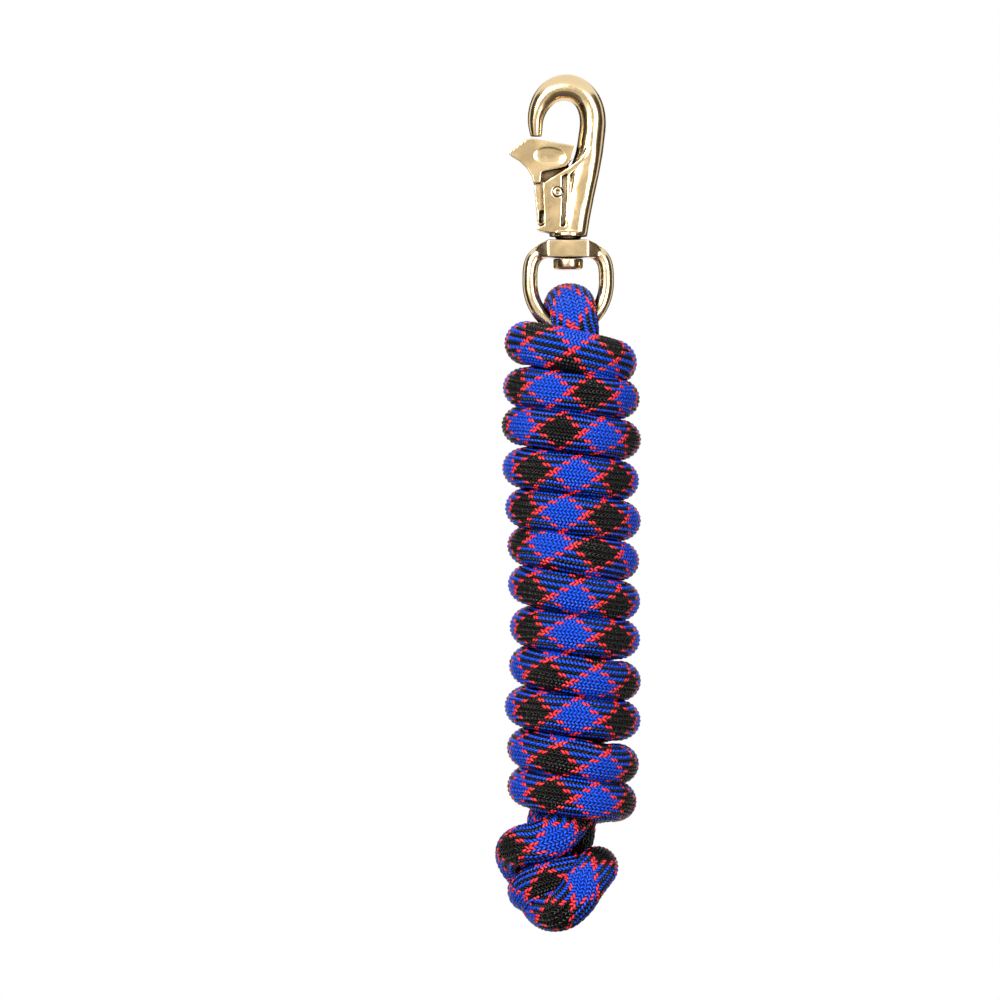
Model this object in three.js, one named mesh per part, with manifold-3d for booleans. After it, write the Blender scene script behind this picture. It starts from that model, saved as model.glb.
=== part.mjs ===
// Lead rope: a trigger snap with a swivel eye, and a braided rope wound into a hank.
// Millimetres, +Z up, +X to the right, -Y towards the front. The snap hangs from its hook, and the origin is
// the hook's inner saddle, on the axis that the swivel turns about.

import * as THREE from 'three';
import { mergeVertices } from 'three/addons/utils/BufferGeometryUtils.js';
import Module from 'manifold-3d';

const wasm = await Module();
wasm.setup();

// ---------- driving dimensions ----------

const GAP = 0.3; // clearance between neighbouring pieces
const PAST = 30; // how far a cutting shape reaches past what it cuts

// Hook and shank: centre line in X, Z with the bar's width there, from the hook's tip round to the collar.
const BAR = [
  [-14.5, -17.2, 4.8],
  [-14.8, -12.6, 6.4],
  [-14.8, -8.6, 7.3],
  [-13.6, -3.8, 8.6],
  [-11.2, 0.6, 9.9],
  [-7.1, 4.3, 11.2],
  [-1.2, 5.8, 12.2],
  [4.2, 4.4, 12.2],
  [8.3, 0.5, 12.0],
  [10.6, -4.8, 12.0],
  [11.2, -10.6, 12.0],
  [10.5, -17.5, 12.2],
  [9.4, -25.0, 12.4],
  [7.1, -34.0, 13.6],
  [5.4, -43.0, 13.1],
  [3.7, -52.0, 13.0],
  [2.2, -60.5, 13.2],
];
const BAR_DEPTH_SHARE = 1.04; // the bar is a little deeper than it is wide
const SHANK_SQUARE = { from: -20.0, to: -32.0, power: 2.8 }; // the round bar turns squarer down the shank
const CHEEK_HALF = 6.6; // half the thickness over both cheeks
const SLOT_HALF = 3.3; // half the slot between the cheeks
const COLLAR = { r: 8.6, top: -60.2, bottom: -62.0, neckR: 6.7, neckTop: -57.0 };
const BOSS = { r: 5.8, bottom: -63.1 };
const GROOVE_DEPTH = 2.0; // of the casting's long groove beside the pin

// Trigger
const PIN = { x: -4.9, z: -42.0, r: 2.1, half: 6.9 };
const HEAD_HALF = 5.0; // half the thickness of the trigger's head
const FLANGE_HALF = 3.0; // half the thickness of its leg
const WEB_HALF = 2.2; // half the thickness of the web between its head and its leg
const FLANGE_INSIDE = 1.9; // half the hollow inside the leg
const LUG_R = 4.4; // round lug about the pin
const LEG_REACH = 17.0; // from the pin to the foot of the leg
const TEETH = 5; // grip teeth on the spur
const DISH = { x: -8.4, z: -25.7, halfX: 7.7, halfZ: 4.7, depth: 1.0, tilt: 4 }; // thumb dish in each face

// Spring on the pin
const SPRING = { wire: 0.4, mean: 2.95, turns: 3.25, pitch: 0.9 };

// Swivel
const EYE = { x: 17.4, down: 20.7, up: 15.1, z: -82.6, wire: 3.5, square: 3.4 };
const EYE_BAR = { halfX: 9.0, halfY: 6.0, top: -63.4, bottom: -71.6, endX: 14.5, endHalfY: 3.2 };
const STUD = { r: 3.2, top: -60.2, clear: 2.2, headR: 6.75, headTop: -72.1, headBottom: -77.1 };

// Rope, 19 mm across
const ROPE_R = 9.5;
const EYE_PRESS = 7.7; // the rope's half thickness where it is pressed over the ring
const HANK = { x: 1.9, halfX: 30.5, halfY: 37.5, top: -103.0, bottom: -322.5, round: 8.0 };
const POCKET = { left: -13.0, right: 15.5, halfY: 23.6, bottom: -126.2 }; // between the first turn's strands

// Route of the eye: up behind the ring, over its lower bar and down in front.
const EYE_ROUTE = [
  [-2.0, 13.2, -124.6],
  [-2.2, 12.8, -116.0],
  [-2.0, 12.4, -108.0],
  [-1.5, 11.2, -100.0],
  [-0.6, 7.4, -93.7],
  [0.6, 0.0, -91.0],
  [1.8, -7.4, -93.7],
  [2.8, -11.2, -100.0],
  [3.3, -12.4, -108.0],
  [3.4, -12.8, -116.0],
  [3.0, -13.2, -124.6],
];
// Route of the core's bight below the hank, seen behind the tail.
const BIGHT_ROUTE = [
  [3.2, 6.6, -322.9],
  [3.2, 6.6, -329.0],
  [2.2, 9.0, -336.4],
  [-1.0, 14.2, -340.4],
  [-4.6, 18.6, -340.4],
  [-7.8, 22.9, -336.4],
  [-8.8, 24.0, -329.0],
  [-8.8, 24.0, -322.9],
];
// Route of the tail: down out of the core, across the front to the left and round towards the back.
const TAIL_ROUTE = [
  [2.4, -13.4, -323.0],
  [2.4, -13.4, -328.0],
  [-0.6, -16.2, -334.6],
  [-7.4, -18.6, -337.0],
  [-13.6, -18.6, -338.0],
  [-19.6, -15.0, -339.2],
  [-23.6, -8.0, -341.2],
  [-25.0, 0.0, -344.4],
  [-24.8, 4.8, -347.6],
];
const KNOT = { x: -2.6, y: -9.0, z: -362.0, halfX: 24.4, halfY: 18.0, halfZ: 13.4 };

// ---------- materials ----------

const GOLD = { color: 0xd9bd84, roughness: 0.16, metalness: 1.0 };
const STEEL = { color: 0x9a958c, roughness: 0.35, metalness: 1.0 };
const BLUE = { color: 0x1a3fd6, roughness: 0.55, metalness: 0.0 };
const BLACK = { color: 0x1d1a17, roughness: 0.6, metalness: 0.0 };

// ---------- shape helpers ----------

// A closed geometry as a manifold solid.
function solid(geometry) {
  const bare = new THREE.BufferGeometry();
  bare.setAttribute('position', geometry.getAttribute('position').clone());
  if (geometry.index) bare.setIndex(geometry.index.clone());
  const merged = mergeVertices(bare, 1e-4);
  return new wasm.Manifold(new wasm.Mesh({
    numProp: 3,
    vertProperties: new Float32Array(merged.getAttribute('position').array),
    triVerts: new Uint32Array(merged.index.array),
  }));
}

// The geometry of a manifold solid.
function geometryOf(manifold) {
  const mesh = manifold.getMesh();
  const geometry = new THREE.BufferGeometry();
  geometry.setAttribute('position', new THREE.BufferAttribute(new Float32Array(mesh.vertProperties), 3));
  geometry.setIndex(new THREE.BufferAttribute(new Uint32Array(mesh.triVerts), 1));
  geometry.computeVertexNormals();
  return geometry;
}

// A plate of an X, Z outline between two depths.
function plate(outline, front, back) {
  const shape = new THREE.Shape(outline.map(([x, z]) => new THREE.Vector2(x, z)));
  const geometry = new THREE.ExtrudeGeometry(shape, { depth: back - front, bevelEnabled: false });
  geometry.rotateX(Math.PI / 2);
  geometry.translate(0, back, 0);
  return geometry;
}

function box(x0, x1, y0, y1, z0, z1) {
  const geometry = new THREE.BoxGeometry(x1 - x0, y1 - y0, z1 - z0);
  geometry.translate((x0 + x1) / 2, (y0 + y1) / 2, (z0 + z1) / 2);
  return geometry;
}

// A cylinder along Y through the pin's centre.
function acrossPin(r, y0, y1, sides = 24) {
  const geometry = new THREE.CylinderGeometry(r, r, y1 - y0, sides);
  geometry.translate(PIN.x, (y0 + y1) / 2, PIN.z);
  return geometry;
}

// A turned piece about Z from [radius, height] pairs that start and end on the axis.
function turned(profile, segments = 32) {
  const points = profile.map(([r, z]) => new THREE.Vector2(r, z));
  const geometry = new THREE.LatheGeometry(points, segments);
  geometry.rotateX(Math.PI / 2);
  return geometry;
}

// The round hole that the swivel's stud goes through.
function studBore(bottom, top) {
  return turned([[0, bottom], [STUD.r + GAP, bottom], [STUD.r + GAP, top], [0, top]], 24);
}

// Points on an arc about the pin, in degrees.
function pinArc(r, from, to, steps) {
  return Array.from({ length: steps + 1 }, (_, i) => {
    const a = THREE.MathUtils.degToRad(from + ((to - from) * i) / steps);
    return [PIN.x + r * Math.cos(a), PIN.z + r * Math.sin(a)];
  });
}

// A bar whose sections are ellipses across a centre line in the XZ plane. Each station is
// [x, z, half width in the plane, half depth along Y]. An open bar ends in flat faces.
// A section's squareness at a height is 2 for an ellipse and more for a squarer one.
function barAlong(stations, sides, closed = false, squareness = () => 2) {
  const n = stations.length;
  const positions = [];
  const index = [];
  stations.forEach(([x, z, width, depth], i) => {
    const before = stations[closed ? (i + n - 1) % n : Math.max(i - 1, 0)];
    const after = stations[closed ? (i + 1) % n : Math.min(i + 1, n - 1)];
    const along = new THREE.Vector2(after[0] - before[0], after[1] - before[1]).normalize();
    const power = 2 / squareness(z);
    for (let k = 0; k < sides; k += 1) {
      const a = (2 * Math.PI * k) / sides;
      const out = width * Math.sign(Math.cos(a)) * Math.abs(Math.cos(a)) ** power;
      const deep = depth * Math.sign(Math.sin(a)) * Math.abs(Math.sin(a)) ** power;
      positions.push(x + out * along.y, deep, z - out * along.x);
    }
  });
  const rings = closed ? n : n - 1;
  for (let i = 0; i < rings; i += 1) {
    for (let k = 0; k < sides; k += 1) {
      const next = (k + 1) % sides;
      const a = i * sides + k;
      const b = i * sides + next;
      const c = ((i + 1) % n) * sides + next;
      const d = ((i + 1) % n) * sides + k;
      index.push(a, b, d, b, c, d);
    }
  }
  if (!closed) {
    for (const [ring, flip] of [[0, false], [n - 1, true]]) {
      const centre = positions.length / 3;
      positions.push(stations[ring][0], 0, stations[ring][1]);
      for (let k = 0; k < sides; k += 1) {
        const a = ring * sides + k;
        const b = ring * sides + ((k + 1) % sides);
        index.push(centre, ...(flip ? [a, b] : [b, a]));
      }
    }
  }
  const geometry = new THREE.BufferGeometry();
  geometry.setAttribute('position', new THREE.Float32BufferAttribute(positions, 3));
  geometry.setIndex(index);
  return geometry;
}

// Even stations on a smooth line through hand-placed [x, z, width] points.
function smoothStations(points, count, depthShare) {
  const curve = new THREE.CatmullRomCurve3(points.map(([x, z, w]) => new THREE.Vector3(x, z, w)), false, 'centripetal');
  return curve.getSpacedPoints(count).map((p) => [p.x, p.y, p.z / 2, (p.z / 2) * depthShare]);
}

// A plain tube through the points of a rope's route. The section is an ellipse.
function ropeTube(route, halfIn, halfAcross, steps, sides = 10) {
  const section = new THREE.Shape(Array.from({ length: sides }, (_, k) => {
    const a = (2 * Math.PI * k) / sides;
    return new THREE.Vector2(halfIn * Math.cos(a), halfAcross * Math.sin(a));
  }));
  const curve = new THREE.CatmullRomCurve3(route.map((p) => new THREE.Vector3(...p)), false, 'centripetal');
  return new THREE.ExtrudeGeometry(section, { steps, extrudePath: curve, bevelEnabled: false });
}

function piece(name, geometry, finish) {
  const mesh = new THREE.Mesh(geometry, new THREE.MeshStandardMaterial(finish));
  mesh.name = name;
  return mesh;
}

// ---------- snap body ----------

function snapBody() {
  const squareness = (z) => 2 + (SHANK_SQUARE.power - 2)
    * THREE.MathUtils.smoothstep(-z, -SHANK_SQUARE.from, -SHANK_SQUARE.to);
  const bar = solid(barAlong(smoothStations(BAR, 40, BAR_DEPTH_SHARE), 20, false, squareness));
  const cheeks = solid(plate([
    [-11.7, -38.1],
    [-11.3, -45.0],
    [-10.9, -57.0],
    [-14.2, -58.2],
    [-14.0, -59.4],
    [-8.4, -60.4],
    [-0.6, -60.4],
    [0.2, -45.0],
    [0.8, -34.2],
    [3.0, -31.8],
    [6.4, -28.2],
    [8.8, -24.6],
    [9.6, -21.4],
    [8.4, -22.0],
    [7.2, -24.6],
    [5.0, -27.2],
    [0.4, -30.7],
    [-5.2, -34.0],
  ], -CHEEK_HALF, CHEEK_HALF));
  const collar = solid(turned([
    [0, BOSS.bottom],
    [BOSS.r, BOSS.bottom],
    [BOSS.r, COLLAR.bottom],
    [COLLAR.r, COLLAR.bottom],
    [COLLAR.r, COLLAR.top],
    [COLLAR.neckR, COLLAR.top],
    [COLLAR.neckR, COLLAR.neckTop],
    [0, COLLAR.neckTop],
  ]));
  // The slot: room for the trigger's neck above the pin and for its leg to swing in below it.
  const slot = solid(plate([
    [-PAST, -16.0],
    [0.9, -16.0],
    [0.9, -44.0],
    ...pinArc(LEG_REACH + GAP, -47, -88, 6),
    [-PAST, PIN.z - LEG_REACH - GAP],
  ], -SLOT_HALF, SLOT_HALF));
  const tipRoom = solid(box(-PAST, 4.2, -PAST, PAST, -16.2, PAST)); // keeps the slot's cut off the hook
  const grooveOutline = [
    [-3.0, -35.0],
    [-0.4, -33.6],
    [-0.7, -46.0],
    [-1.6, -57.6],
    [-3.4, -57.6],
    [-2.7, -46.0],
  ];
  const grooves = solid(plate(grooveOutline, -PAST, GROOVE_DEPTH - CHEEK_HALF))
    .add(solid(plate(grooveOutline, CHEEK_HALF - GROOVE_DEPTH, PAST)));
  const body = bar
    .add(cheeks)
    .add(collar)
    .subtract(slot.subtract(tipRoom))
    .subtract(grooves)
    .subtract(solid(acrossPin(PIN.r + GAP, -PAST, PAST)))
    .subtract(solid(studBore(COLLAR.bottom - PAST, STUD.top + STUD.clear)));
  return piece('snap_body', geometryOf(body), GOLD);
}

// ---------- trigger ----------

function triggerLever() {
  const spurFrom = new THREE.Vector2(-17.9, -17.7);
  const spurTo = new THREE.Vector2(-26.4, -23.8);
  const across = new THREE.Vector2(-0.58, 0.81).multiplyScalar(0.8);
  const teeth = [];
  for (let i = 0; i < TEETH; i += 1) {
    const valley = spurFrom.clone().lerp(spurTo, (i + 0.15) / TEETH);
    const crest = spurFrom.clone().lerp(spurTo, (i + 0.75) / TEETH).add(across);
    teeth.push([valley.x, valley.y], [crest.x, crest.y]);
  }
  const head = solid(plate([
    [3.4, -20.9],
    [-16.9, -17.5],
    ...teeth,
    [-26.8, -24.6],
    [-25.6, -25.8],
    [-22.0, -28.0],
    [-18.6, -31.2],
    [-16.6, -34.5],
    [-15.7, -38.0],
    [-12.7, -37.6],
    [-12.2, -32.9],
    [-1.0, -30.3],
    [1.7, -26.8],
    [2.4, -24.2],
  ], -HEAD_HALF, HEAD_HALF));
  const leg = solid(plate([
    [-16.6, -34.5],
    [-15.7, -38.0],
    [-15.0, -44.0],
    [-14.5, -50.0],
    [-13.9, -56.4],
    ...pinArc(LEG_REACH, -122, -111.5, 2).slice(1),
    [-9.2, -52.0],
    ...pinArc(LUG_R, -135, 90, 12),
    [-9.0, -37.6],
    [-12.5, -36.4],
  ], -FLANGE_HALF, FLANGE_HALF));
  const web = solid(plate([
    [-15.9, -37.0],
    [-15.2, -31.5],
    [-1.0, -28.5],
    [0.3, -29.5],
    [0.3, -39.0],
    [-9.0, -39.0],
  ], -WEB_HALF, WEB_HALF));
  const hollow = solid(plate([
    [-13.7, -39.6],
    [-12.6, -60.0],
    [4.0, -60.0],
    [4.0, -38.3],
    [-8.6, -38.3],
  ], -FLANGE_INSIDE, FLANGE_INSIDE));
  const window = solid(box(-13.2, -8.0, -PAST, 0, -55.9, -50.4)); // shows the spring's arm in front
  const dish = new THREE.SphereGeometry(1, 24, 16);
  dish.scale(DISH.halfX, DISH.depth, DISH.halfZ);
  dish.rotateY(THREE.MathUtils.degToRad(DISH.tilt));
  const front = dish.clone().translate(DISH.x, -HEAD_HALF - GAP, DISH.z);
  const back = dish.clone().translate(DISH.x, HEAD_HALF + GAP, DISH.z);
  const lever = head
    .add(leg)
    .add(web)
    .subtract(hollow)
    .subtract(window)
    .subtract(solid(acrossPin(PIN.r + GAP, -PAST, PAST)))
    .subtract(solid(front))
    .subtract(solid(back));
  return piece('trigger', geometryOf(lever), GOLD);
}

// The rivet the trigger turns on, with a punched dimple in each end.
function triggerPin() {
  const geometry = turned([
    [0, -PIN.half + 0.7],
    [1.0, -PIN.half],
    [PIN.r - 0.2, -PIN.half],
    [PIN.r, -PIN.half + 0.3],
    [PIN.r, PIN.half - 0.3],
    [PIN.r - 0.2, PIN.half],
    [1.0, PIN.half],
    [0, PIN.half - 0.7],
  ], 24);
  geometry.rotateX(Math.PI / 2);
  geometry.translate(PIN.x, 0, PIN.z);
  return piece('trigger_pin', geometry, STEEL);
}

// A torsion spring: a coil on the pin, one arm down inside the leg and one against the slot's end.
function triggerSpring() {
  const points = [];
  const half = (SPRING.turns * SPRING.pitch) / 2;
  const down = [[-11.0, -56.2], [-10.9, -52.0], [-9.6, -47.0]];
  const armUp = [[-3.6, -39.0], [-0.4, -38.9]];
  down.forEach(([x, z]) => points.push(new THREE.Vector3(x, -half, z)));
  const perTurn = 12;
  const steps = Math.round(SPRING.turns * perTurn);
  for (let i = 0; i <= steps; i += 1) {
    const a = THREE.MathUtils.degToRad(180) - (2 * Math.PI * i) / perTurn;
    points.push(new THREE.Vector3(
      PIN.x + SPRING.mean * Math.cos(a),
      -half + (SPRING.pitch * i) / perTurn,
      PIN.z + SPRING.mean * Math.sin(a),
    ));
  }
  armUp.forEach(([x, z]) => points.push(new THREE.Vector3(x, half, z)));
  const section = new THREE.Shape(Array.from({ length: 6 }, (_, k) => {
    const a = (2 * Math.PI * k) / 6;
    return new THREE.Vector2(SPRING.wire * Math.cos(a), SPRING.wire * Math.sin(a));
  }));
  const curve = new THREE.CatmullRomCurve3(points, false, 'centripetal');
  const geometry = new THREE.ExtrudeGeometry(section, { steps: 90, extrudePath: curve, bevelEnabled: false });
  return piece('trigger_spring', geometry, STEEL);
}

// ---------- swivel ----------

function swivelStud() {
  const geometry = turned([
    [0, STUD.headBottom],
    [STUD.headR - 1.2, STUD.headBottom],
    [STUD.headR - 0.3, STUD.headBottom + 0.4],
    [STUD.headR, STUD.headBottom + 1.3],
    [STUD.headR, STUD.headTop - 0.6],
    [STUD.headR - 0.5, STUD.headTop],
    [STUD.r, STUD.headTop],
    [STUD.r, STUD.top],
    [0, STUD.top],
  ]);
  return piece('swivel_stud', geometry, GOLD);
}

// The ring: an ellipse below its widest place and a squarer arch above it, with a flat bar across the top.
function swivelEye() {
  const count = 48;
  const stations = Array.from({ length: count }, (_, i) => {
    const a = (2 * Math.PI * i) / count;
    const c = Math.cos(a);
    const s = Math.sin(a);
    const power = s > 0 ? 2 / EYE.square : 1;
    const x = EYE.x * Math.sign(c) * Math.abs(c) ** power;
    const z = EYE.z + (s > 0 ? EYE.up * s ** power : EYE.down * s);
    return [x, z, EYE.wire, EYE.wire];
  });
  const ring = solid(barAlong(stations, 16, true));
  const { halfX, halfY, top, bottom, endX, endHalfY } = EYE_BAR;
  // The bar's shoulders slope down to the ring seen from the front, and taper to its wire seen from above.
  const front = solid(plate([
    [-halfX, top],
    [-12.5, -64.9],
    [-endX, -66.6],
    [-endX, -70.4],
    [-12.2, bottom],
    [12.2, bottom],
    [endX, -70.4],
    [endX, -66.6],
    [12.5, -64.9],
    [halfX, top],
  ], -halfY, halfY));
  const plan = plate([
    [-halfX, -halfY],
    [-endX, -endHalfY],
    [-endX, endHalfY],
    [-halfX, halfY],
    [halfX, halfY],
    [endX, endHalfY],
    [endX, -endHalfY],
    [halfX, -halfY],
  ], -PAST, PAST);
  plan.rotateX(Math.PI / 2);
  plan.translate(0, 0, (top + bottom) / 2);
  const bar = front.intersect(solid(plan));
  const above = solid(box(-PAST, PAST, -PAST, PAST, EYE_BAR.top, EYE_BAR.top + PAST)); // trims the ring flush
  const eye = ring
    .add(bar)
    .subtract(above)
    .subtract(solid(studBore(EYE_BAR.bottom - COLLAR.r, EYE_BAR.top + COLLAR.r)));
  return piece('swivel_eye', geometryOf(eye), GOLD);
}

// ---------- rope ----------

function ropeEyeLoop() {
  return piece('rope_eye_loop', ropeTube(EYE_ROUTE, 9.0, EYE_PRESS, 24), BLUE);
}

// The whipping round both legs of the rope's eye.
function eyeSeizing() {
  const outer = solid(box(-12.6, 13.7, -23.2, 23.2, -121.0, -112.0));
  const inner = solid(box(-12.1, 13.2, -22.5, 22.5, -122.0, -111.0));
  return piece('eye_seizing', geometryOf(outer.subtract(inner)), BLACK);
}

// The outer shape of the wound turns, with the room between the first turn's strands left open at the top.
function ropeHank() {
  const outline = new THREE.Shape();
  outline.absellipse(0, 0, HANK.halfX - HANK.round, HANK.halfY - HANK.round, 0, 2 * Math.PI);
  const geometry = new THREE.ExtrudeGeometry(outline, {
    depth: HANK.top - HANK.bottom - 2 * HANK.round,
    bevelThickness: HANK.round,
    bevelSize: HANK.round,
    bevelSegments: 3,
    curveSegments: 14,
  });
  geometry.translate(HANK.x, 0, HANK.bottom + HANK.round);
  const pocket = solid(box(POCKET.left, POCKET.right, -POCKET.halfY, POCKET.halfY, POCKET.bottom, 0));
  return piece('rope_hank', geometryOf(solid(geometry).subtract(pocket)), BLUE);
}

function ropeBight() {
  return piece('rope_bight', ropeTube(BIGHT_ROUTE, ROPE_R, ROPE_R, 16), BLACK);
}

function ropeTail() {
  return piece('rope_tail', ropeTube(TAIL_ROUTE, ROPE_R, ROPE_R, 12), BLUE);
}

function ropeKnot() {
  const geometry = new THREE.SphereGeometry(1, 20, 12);
  geometry.scale(KNOT.halfX, KNOT.halfY, KNOT.halfZ);
  geometry.translate(KNOT.x, KNOT.y, KNOT.z);
  return piece('rope_knot', geometry, BLACK);
}

// ---------- the object ----------

const leadRope = new THREE.Group();
leadRope.add(
  snapBody(),
  triggerLever(),
  triggerPin(),
  triggerSpring(),
  swivelStud(),
  swivelEye(),
  ropeEyeLoop(),
  eyeSeizing(),
  ropeHank(),
  ropeBight(),
  ropeTail(),
  ropeKnot(),
);

export default leadRope;
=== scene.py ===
"""Lead rope: a gilt trigger snap with a swivel eye, and a braided rope wound into a hank and tied off.

Metres, +Z up, +X to the right, -Y towards the front. The snap hangs from its hook, and the origin is
the hook's inner saddle. Laid out as a Blender add-on, and run as a script.
"""

import math

import bpy
import numpy as np
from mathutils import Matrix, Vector


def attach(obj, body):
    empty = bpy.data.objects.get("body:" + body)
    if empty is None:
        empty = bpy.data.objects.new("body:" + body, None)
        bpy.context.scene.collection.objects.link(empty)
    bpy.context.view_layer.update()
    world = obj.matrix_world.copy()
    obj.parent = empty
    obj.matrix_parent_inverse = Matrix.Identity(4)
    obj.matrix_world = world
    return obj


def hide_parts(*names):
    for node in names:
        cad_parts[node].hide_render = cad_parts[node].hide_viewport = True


bl_info = {
    "name": "Lead Rope",
    "version": (1, 0, 0),
    "blender": (4, 5, 0),
    "location": "View3D > Sidebar > Lead Rope",
    "description": "Builds a braided lead rope in a hank with its trigger snap and studio",
    "category": "Add Mesh",
}

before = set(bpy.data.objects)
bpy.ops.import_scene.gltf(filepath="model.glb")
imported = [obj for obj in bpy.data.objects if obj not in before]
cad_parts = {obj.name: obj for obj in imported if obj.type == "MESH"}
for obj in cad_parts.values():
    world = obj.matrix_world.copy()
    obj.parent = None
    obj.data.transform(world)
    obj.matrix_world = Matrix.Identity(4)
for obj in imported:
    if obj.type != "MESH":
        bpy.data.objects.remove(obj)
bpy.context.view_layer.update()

UP = np.array([0.0, 0.0, 1.0])
SIDEWAYS = np.array([1.0, 0.0, 0.0])

# ---------- snap: the same dimensions as the CAD ----------

# Hook and shank: centre line in X, Z with the bar's width there, from the hook's tip round to the collar.
BAR = (
    (-0.0145, -0.0172, 0.0048),
    (-0.0148, -0.0126, 0.0064),
    (-0.0148, -0.0086, 0.0073),
    (-0.0136, -0.0038, 0.0086),
    (-0.0112, 0.0006, 0.0099),
    (-0.0071, 0.0043, 0.0112),
    (-0.0012, 0.0058, 0.0122),
    (0.0042, 0.0044, 0.0122),
    (0.0083, 0.0005, 0.0120),
    (0.0106, -0.0048, 0.0120),
    (0.0112, -0.0106, 0.0120),
    (0.0105, -0.0175, 0.0122),
    (0.0094, -0.0250, 0.0124),
    (0.0071, -0.0340, 0.0136),
    (0.0054, -0.0430, 0.0131),
    (0.0037, -0.0520, 0.0130),
    (0.0022, -0.0605, 0.0132),
)
BAR_DEPTH_SHARE = 1.04
SHANK_FROM = -0.020  # the round bar turns squarer from here
SHANK_TO = -0.032  # to here
SHANK_SQUARE = 2.8
# The trigger's slot in the body, as X, Z corners, and half its width.
SLOT = (
    (-0.030, -0.0164),
    (0.0009, -0.0164),
    (0.0009, -0.0440),
    (0.0069, -0.0547),
    (0.0039, -0.0570),
    (0.0000, -0.0586),
    (-0.0043, -0.0593),
    (-0.030, -0.0593),
)
SLOT_HALF = 0.0033
# The long groove beside the pin, in both faces.
GROOVE = (
    (-0.0030, -0.0350),
    (-0.0004, -0.0336),
    (-0.0007, -0.0460),
    (-0.0016, -0.0576),
    (-0.0034, -0.0576),
    (-0.0027, -0.0460),
)
GROOVE_FLOOR = 0.0046
PIN = (-0.0049, 0.0, -0.0420)
PIN_HALF = 0.0069
PIN_R = 0.0021
STUD_R = 0.0032
STUD_GAP = 0.0003
# The ring's centre line: half width, drop and rise about its widest height.
EYE_X = 0.0174
EYE_Z = -0.0826
EYE_DOWN = 0.0207
EYE_RISE = 0.0151
EYE_WIRE = 0.0035
EYE_SQUARE = 3.4
EYE_STATIONS = 220
EYE_SOFTER = 5  # the ring is forged softer at its corners than the castings
# Spring on the pin
SPRING_WIRE = 0.0004
SPRING_MEAN = 0.00295
SPRING_TURNS = 3.25
SPRING_PITCH = 0.0009

# The plating's hollows are rougher than its faces by this much.
HOLLOW_ROUGHNESS = 0.35

# ---------- rope: route ----------

# The eye from its spliced end: up in front of the ring, over its lower bar and down behind.
EYE_ROUTE = (
    (0.0030, -0.0132, -0.1246),
    (0.0034, -0.0128, -0.1160),
    (0.0033, -0.0124, -0.1080),
    (0.0028, -0.0112, -0.1000),
    (0.0018, -0.0074, -0.0937),
    (0.0006, 0.0000, -0.0910),
    (-0.0006, 0.0074, -0.0937),
    (-0.0015, 0.0112, -0.1000),
    (-0.0020, 0.0124, -0.1080),
    (-0.0022, 0.0128, -0.1160),
    (-0.0014, 0.0130, -0.1260),
)
# Down the core and round the bight below the hank, then up behind to the first turn wound.
CORE_ROUTE = (
    (0.0012, 0.0108, -0.1450),
    (0.0020, 0.0095, -0.1750),
    (0.0020, 0.0095, -0.2150),
    (0.0020, 0.0095, -0.2550),
    (0.0020, 0.0095, -0.2900),
    (0.0028, 0.0072, -0.3100),
    (0.0032, 0.0066, -0.3229),
    (0.0032, 0.0066, -0.3290),
    (0.0022, 0.0090, -0.3364),
    (-0.0010, 0.0142, -0.3404),
    (-0.0046, 0.0186, -0.3404),
    (-0.0078, 0.0229, -0.3364),
    (-0.0090, 0.0248, -0.3290),
    (-0.0050, 0.0278, -0.3236),
    (0.0040, 0.0290, -0.3226),
    (0.0140, 0.0235, -0.3210),
)
# Off the last turn at the top, into the core and down it, and out below as the tail.
DIVE_ROUTE = (
    (-0.0145, 0.0200, -0.1105),
    (-0.0060, 0.0262, -0.1130),
    (0.0030, 0.0225, -0.1170),
    (0.0065, 0.0120, -0.1250),
    (0.0050, 0.0010, -0.1370),
    (0.0028, -0.0070, -0.1500),
    (0.0020, -0.0095, -0.1700),
    (0.0020, -0.0095, -0.2100),
    (0.0020, -0.0095, -0.2500),
    (0.0020, -0.0100, -0.2900),
    (0.0022, -0.0122, -0.3100),
    (0.0018, -0.0150, -0.3220),
)
# The tail's knot: across the front to the left, behind, over the front from the right and under itself.
KNOT_ROUTE = (
    (-0.0012, -0.0175, -0.3278),
    (-0.0058, -0.0205, -0.3325),
    (-0.0125, -0.0215, -0.3356),
    (-0.0190, -0.0185, -0.3372),
    (-0.0231, -0.0110, -0.3398),
    (-0.0232, -0.0030, -0.3445),
    (-0.0185, 0.0030, -0.3510),
    (-0.0080, 0.0040, -0.3560),
    (0.0040, 0.0030, -0.3545),
    (0.0110, -0.0020, -0.3500),
    (0.0130, -0.0120, -0.3478),
    (0.0118, -0.0220, -0.3486),
    (0.0072, -0.0290, -0.3540),
    (0.0028, -0.0315, -0.3605),
    (-0.0024, -0.0300, -0.3652),
    (-0.0076, -0.0240, -0.3665),
    (-0.0110, -0.0140, -0.3655),
    (-0.0140, -0.0050, -0.3620),
    (-0.0174, -0.0060, -0.3590),
    (-0.0178, -0.0130, -0.3585),
    (-0.0138, -0.0195, -0.3556),
    (-0.0064, -0.0215, -0.3531),
    (0.0007, -0.0205, -0.3516),
    (0.0070, -0.0170, -0.3510),
)

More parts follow.
